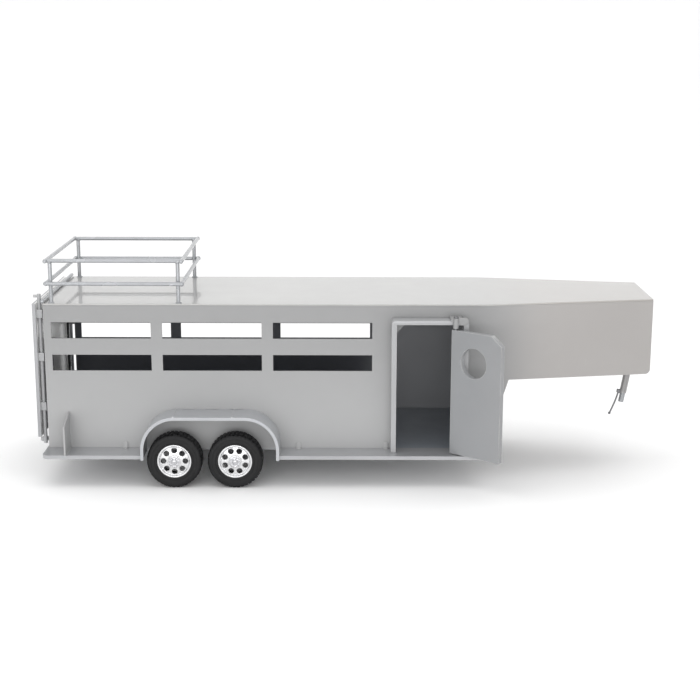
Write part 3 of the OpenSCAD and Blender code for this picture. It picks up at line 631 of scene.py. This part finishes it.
def build_rack():
    bm = bmesh.new()
    seed = 0
    for name in ("rack_posts", "rack_side_rails"):
        for low, high in islands(name):
            seed += 1
            middle = (low + high) / 2
            size = high - low
            axis = max(range(3), key=lambda i: size[i])
            radius = min(size) / 2
            start, end = middle.copy(), middle.copy()
            start[axis], end[axis] = low[axis], high[axis]
            if name == "rack_posts":
                radius -= 1.0 * MM
                end.z += 0.4 * MM
            domed_rod(bm, start, end, radius, 0.03, seed)
    levels = {}
    for low, high in islands("rack_cross_rails"):
        middle = (low + high) / 2
        key = (round(middle.x, 4), round(middle.z, 4))
        levels.setdefault(key, []).append((low, high))
    for (x, z), parts in levels.items():
        seed += 1
        radius = (parts[0][1].z - parts[0][0].z) / 2
        first = Vector((x, min(p[0].y for p in parts), z))
        last = Vector((x, max(p[1].y for p in parts), z))
        domed_rod(bm, first, last, radius, 0.03, seed)
    add_piece("rack_rods", bm, ROD, "root",
              hides=("rack_posts", "rack_side_rails", "rack_cross_rails"))

    bm = bmesh.new()
    rails = islands("rack_side_rails")
    for low, high in rails:
        y, z = (low.y + high.y) / 2, (low.z + high.z) / 2
        radius = (high.z - low.z) / 2
        for x, level in levels:
            if abs(level - z) < 2 * MM:
                seed += 1
                blob(bm, (x, y, z), (radius * 1.12, radius * 1.12, radius * 1.08), seed)
        for post_low, post_high in islands("rack_posts"):
            x, post_y = (post_low.x + post_high.x) / 2, (post_low.y + post_high.y) / 2
            if abs(post_y - y) < 5 * MM:
                seed += 1
                lean = (post_y - y) / 2
                blob(bm, (x, y + lean, z - (0.5 * radius if abs(lean) < 0.2 * MM else 0)),
                     (radius * 1.25, radius * 1.15, radius * 1.1), seed)
    for low, high in islands("rack_posts"):
        seed += 1
        centre = (low + high) / 2
        blob(bm, (centre.x, centre.y, low.z + 0.15 * MM), (2.6 * MM, 2.6 * MM, 0.95 * MM), seed)
    add_piece("rack_welds", bm, ROD, "root")

    low, high = box("roof_rear_tube")
    bm = bmesh.new()
    middle = (low + high) / 2
    domed_rod(bm, (middle.x, low.y, middle.z), (middle.x, high.y, middle.z), (high.z - low.z) / 2, 0.02, 77)
    add_piece("roof_rear_rod", bm, ROD, "root", hides=("roof_rear_tube",))


def build_hitch():
    """The wire with a coiled eye round its pin and a soft kink, and a weld collar at the tube's root."""
    joint = JOINTS["latch_wire_pivot"]
    pivot = Vector(joint["pos_m"])
    low, high = box("hitch_wire")
    middle_y = (low.y + high.y) / 2
    radius, ball, coil, coil_r, pitch = 0.72 * MM, 1.15 * MM, 0.62 * MM, 0.58 * MM, 0.5 * MM
    tip = Vector((low.x + ball, middle_y, low.z + ball))
    lean = math.radians(13.5)
    down = Vector((-math.sin(lean), 0, -math.cos(lean)))
    start = pivot + down * 1.4 * MM
    knee = pivot + down * 9.5 * MM
    points, radii = [], []
    coil_steps, steps, tip_steps = 22, 18, 9
    for i in range(coil_steps + 1):
        angle = math.radians(5.5) - 2.0 * math.pi * i / coil_steps
        points.append(pivot + Vector((coil * math.cos(angle), (i / coil_steps - 0.5) * pitch,
                                      coil * math.sin(angle))))
        radii.append(coil_r)
    points.append(start)
    radii.append(0.64 * MM)
    for i in range(1, steps):
        t = i / steps
        points.append((1 - t) ** 2 * start + 2 * t * (1 - t) * knee + t * t * tip)
        radii.append(radius)
    way = (tip - points[-1]).normalized()
    for i in range(tip_steps):
        angle = math.radians(140) * (1 - i / (tip_steps - 1))
        points.append(tip + way * ball * math.cos(angle))
        radii.append(max(0.08 * MM, ball * math.sin(angle)))
    bm = bmesh.new()
    sweep(bm, points, radii, 14)
    add_piece("wire_with_eye", bm, STEEL, "latch_wire", hides=("hitch_wire",))

    low, high = box("hitch_tube")
    bm = bmesh.new()
    radius = (high.y - low.y) / 2
    centre = Vector((high.x - radius - 0.1 * MM, (low.y + high.y) / 2, high.z - 0.15 * MM))
    ring_piece(bm, centre, (0, 0, 1), radius, 0.75 * MM, 40)
    for vert in bm.verts:
        vert.co += 0.12 * MM * noise.noise_vector(vert.co * 900)
    bmesh.ops.scale(bm, vec=(1, 1, 0.6), space=Matrix.Translation(-centre), verts=bm.verts)
    add_piece("hitch_weld", bm, BODY, "root")


def build_gate_seal():
    """A ribbed rubber strip on the inner face of the gate, along its hinges; its black also stands in as painted
    shade at the hinge edge.
    """
    low, high = box("gate_frame")
    edge = high.y - GATE_FLANGE
    section = [(0.0, -6.0), (0.5, -6.0), (0.75, -5.7), (0.75, -4.6), (0.5, -4.3), (0.5, -3.5), (0.75, -3.2),
               (0.75, -2.1), (0.5, -1.8), (0.5, -1.3), (0.95, -1.0), (0.95, -0.2), (0.7, 0.0), (0.0, 0.0)]
    bm = bmesh.new()
    ends = []
    for z in (low.z + 0.6 * MM, high.z - 0.6 * MM):
        ends.append([bm.verts.new((high.x + out * MM, edge + across * MM, z)) for out, across in section])
    for k in range(len(section)):
        n = (k + 1) % len(section)
        bm.faces.new((ends[0][k], ends[0][n], ends[1][n], ends[1][k]))
    bm.faces.new(ends[0])
    bm.faces.new(list(reversed(ends[1])))
    add_piece("gate_seal_and_shade", bm, RUBBER, "rear_gate")


def build_welds():
    """Weld runs in the corners between the panels and what stands against them."""
    bm = bmesh.new()
    panel, other = box("right_side_panel"), box("left_side_panel")
    floor_top = box("floor_plate")[1].z
    seed = 100
    for low, high in islands("board_gussets"):
        outer = -1 if low.y < panel[0].y else 1
        wall = panel[0].y if outer < 0 else other[1].y
        edge = low.y if outer < 0 else high.y
        for x in (low.x, high.x):
            seed += 1
            bead(bm, (x, wall, floor_top + 2 * MM), (x, wall, high.z - 3 * MM), WELD_R, seed)
            bead(bm, (x, wall + outer * 1.5 * MM, floor_top), (x, edge - outer * 3 * MM, floor_top), WELD_R, seed)
    for name, wall, outer in (("right_fender", panel[0].y, -1), ("left_fender", other[1].y, 1)):
        low, high = box(name)
        for share in (0.33, 0.5, 0.68):
            seed += 1
            x = low.x + (high.x - low.x) * share
            bead(bm, (x - 5 * MM, wall, high.z), (x + 5 * MM, wall, high.z), SEAM_WELD_R, seed)
        for x in (low.x, high.x):
            seed += 1
            bead(bm, (x, wall, floor_top + 1 * MM), (x, wall, floor_top + 9 * MM), FOOT_WELD_R, seed)
            bead(bm, (x, wall + outer * 3 * MM, floor_top), (x, wall + outer * 16 * MM, floor_top),
                 FOOT_WELD_R, seed)
    low, high = box("door_frame")
    for x in (low.x, high.x):
        for place in (0.12, 0.45, 0.8):
            seed += 1
            z = low.z + (high.z - low.z) * place
            bead(bm, (x, panel[0].y, z - 3.5 * MM), (x, panel[0].y, z + 3.5 * MM), WELD_R, seed)
    for low, high in islands("panel_tabs"):
        seed += 1
        outer = -1 if low.y < panel[0].y else 1
        y = (panel[0].y if outer < 0 else other[1].y) + outer * 0.4 * MM
        bead(bm, (low.x + 0.4 * MM, y, high.z), (high.x - 0.4 * MM, y, high.z), SMALL_WELD_R, seed)
    riser, nose = box("riser_panel"), box("nose_floor")
    for share in (0.2, 0.5, 0.8):
        seed += 1
        y = riser[0].y + (riser[1].y - riser[0].y) * share
        bead(bm, (riser[1].x, y - 5 * MM, nose[0].z), (riser[1].x, y + 5 * MM, nose[0].z), SEAM_WELD_R, seed)
    for low, high in islands("axle_hangers"):
        for x in (low.x, high.x):
            seed += 1
            y = (low.y + high.y) / 2
            bead(bm, (x, y - 4 * MM, high.z), (x, y + 4 * MM, high.z), FOOT_WELD_R, seed)
    add_piece("weld_beads", bm, BODY, "root", sharp=60)

    bm = bmesh.new()
    low, high = box("gate_frame")
    for y in (low.y + 6 * MM, high.y - 6 * MM):
        for z in (low.z + 6 * MM, high.z - 6 * MM):
            seed += 1
            inner = y + (1.5 * MM if y < (low.y + high.y) / 2 else -1.5 * MM)
            bead(bm, (high.x - 0.35 * MM, y, z), (high.x - 0.35 * MM, inner, z), SMALL_WELD_R, seed)
    for low, high in islands("latch_guides"):
        for z in (low.z, high.z):
            seed += 1
            x = low.x + 0.05 * MM
            bead(bm, (x, low.y + 0.6 * MM, z), (x, high.y - 0.6 * MM, z), SMALL_WELD_R, seed)
    add_piece("gate_welds", bm, DOOR, "rear_gate", sharp=60)


# ------------------------------------------------------------------- studio

def studio():
    """Pale floor, soft light from above and from the camera's side, and the camera."""
    centre_x = (CAD_BOX[0][0] + CAD_BOX[1][0]) / 2
    mesh = bpy.data.meshes.new("studio_floor")
    size, rise, bend, back, steps = 6.0, 3.0, 1.2, 0.9, 14
    profile = [(-size, 0.0), (back, 0.0)]
    for i in range(1, steps + 1):
        angle = math.pi / 2 * i / steps
        profile.append((back + bend * math.sin(angle), bend * (1 - math.cos(angle))))
    profile.append((back + bend, rise))
    verts = [(side * size, y, z) for y, z in profile for side in (-1, 1)]
    faces = [(2 * i, 2 * i + 1, 2 * i + 3, 2 * i + 2) for i in range(len(profile) - 1)]
    mesh.from_pydata(verts, [], faces)
    for polygon in mesh.polygons:
        polygon.use_smooth = True
    floor = bpy.data.objects.new("studio_floor", mesh)
    bpy.context.scene.collection.objects.link(floor)
    shader = Shader("studio_floor")
    shader.set(Roughness=0.9)
    shade = shader.noise(2.0, 2.0, 0.5)
    shader.link(shader.mix(shade, (0.90, 0.90, 0.90), (0.93, 0.93, 0.93)), shader.bsdf.inputs["Base Color"])
    mesh.materials.append(shader.material)

    world = bpy.data.worlds.new("studio")
    bpy.context.scene.world = world
    world.use_nodes = True
    world.node_tree.nodes["Background"].inputs["Color"].default_value = (1, 1, 1, 1)
    world.node_tree.nodes["Background"].inputs["Strength"].default_value = 0.88

    def area(name, place, target, width, height, power):
        light = bpy.data.lights.new(name, "AREA")
        light.shape = "RECTANGLE"
        light.size = width
        light.size_y = height
        light.energy = power
        lamp = bpy.data.objects.new(name, light)
        bpy.context.scene.collection.objects.link(lamp)
        lamp.location = place
        lamp.rotation_euler = (Vector(target) - Vector(place)).to_track_quat("-Z", "Y").to_euler()

    area("top_soft", (centre_x, 0.1, 1.5), (centre_x, 0, 0), 2.2, 1.6, 12)
    area("front_soft", (centre_x - 0.4, -1.9, 0.7), (centre_x, 0, 0.1), 2.2, 1.0, 9)
    area("front_low", (centre_x - 0.1, -1.6, 0.12), (centre_x, 0, 0.04), 1.8, 0.24, 5.5)

    camera = bpy.data.objects.new("camera", bpy.data.cameras.new("camera"))
    bpy.context.scene.collection.objects.link(camera)
    panel = box("right_side_panel")
    middle_y = (panel[0].y + box("left_side_panel")[1].y) / 2
    along, away, height = 0.2482, 1.1642, 0.3664
    downward, sideways, roll = (math.radians(angle) for angle in (13.09, -0.06, 0.14))
    camera.location = (panel[0].x + along, middle_y - away, height)
    camera.rotation_mode = "XYZ"
    look = Matrix.Rotation(sideways, 3, "Z") @ Matrix.Rotation(math.pi / 2 - downward, 3, "X")
    camera.rotation_euler = (look @ Matrix.Rotation(roll, 3, "Z")).to_euler()
    camera.data.sensor_width = 36
    camera.data.lens = 71.2
    camera.data.clip_start = 0.01
    bpy.context.scene.camera = camera
    bpy.context.scene.view_settings.view_transform = "Standard"


finish_nodes()
for wheel in [name for name in NODES if name.startswith("tyre")]:
    build_tyre(wheel)
    build_hub(wheel.replace("tyre", "hub_cap"))
build_rack()
build_hitch()
build_welds()
build_gate_seal()
studio()
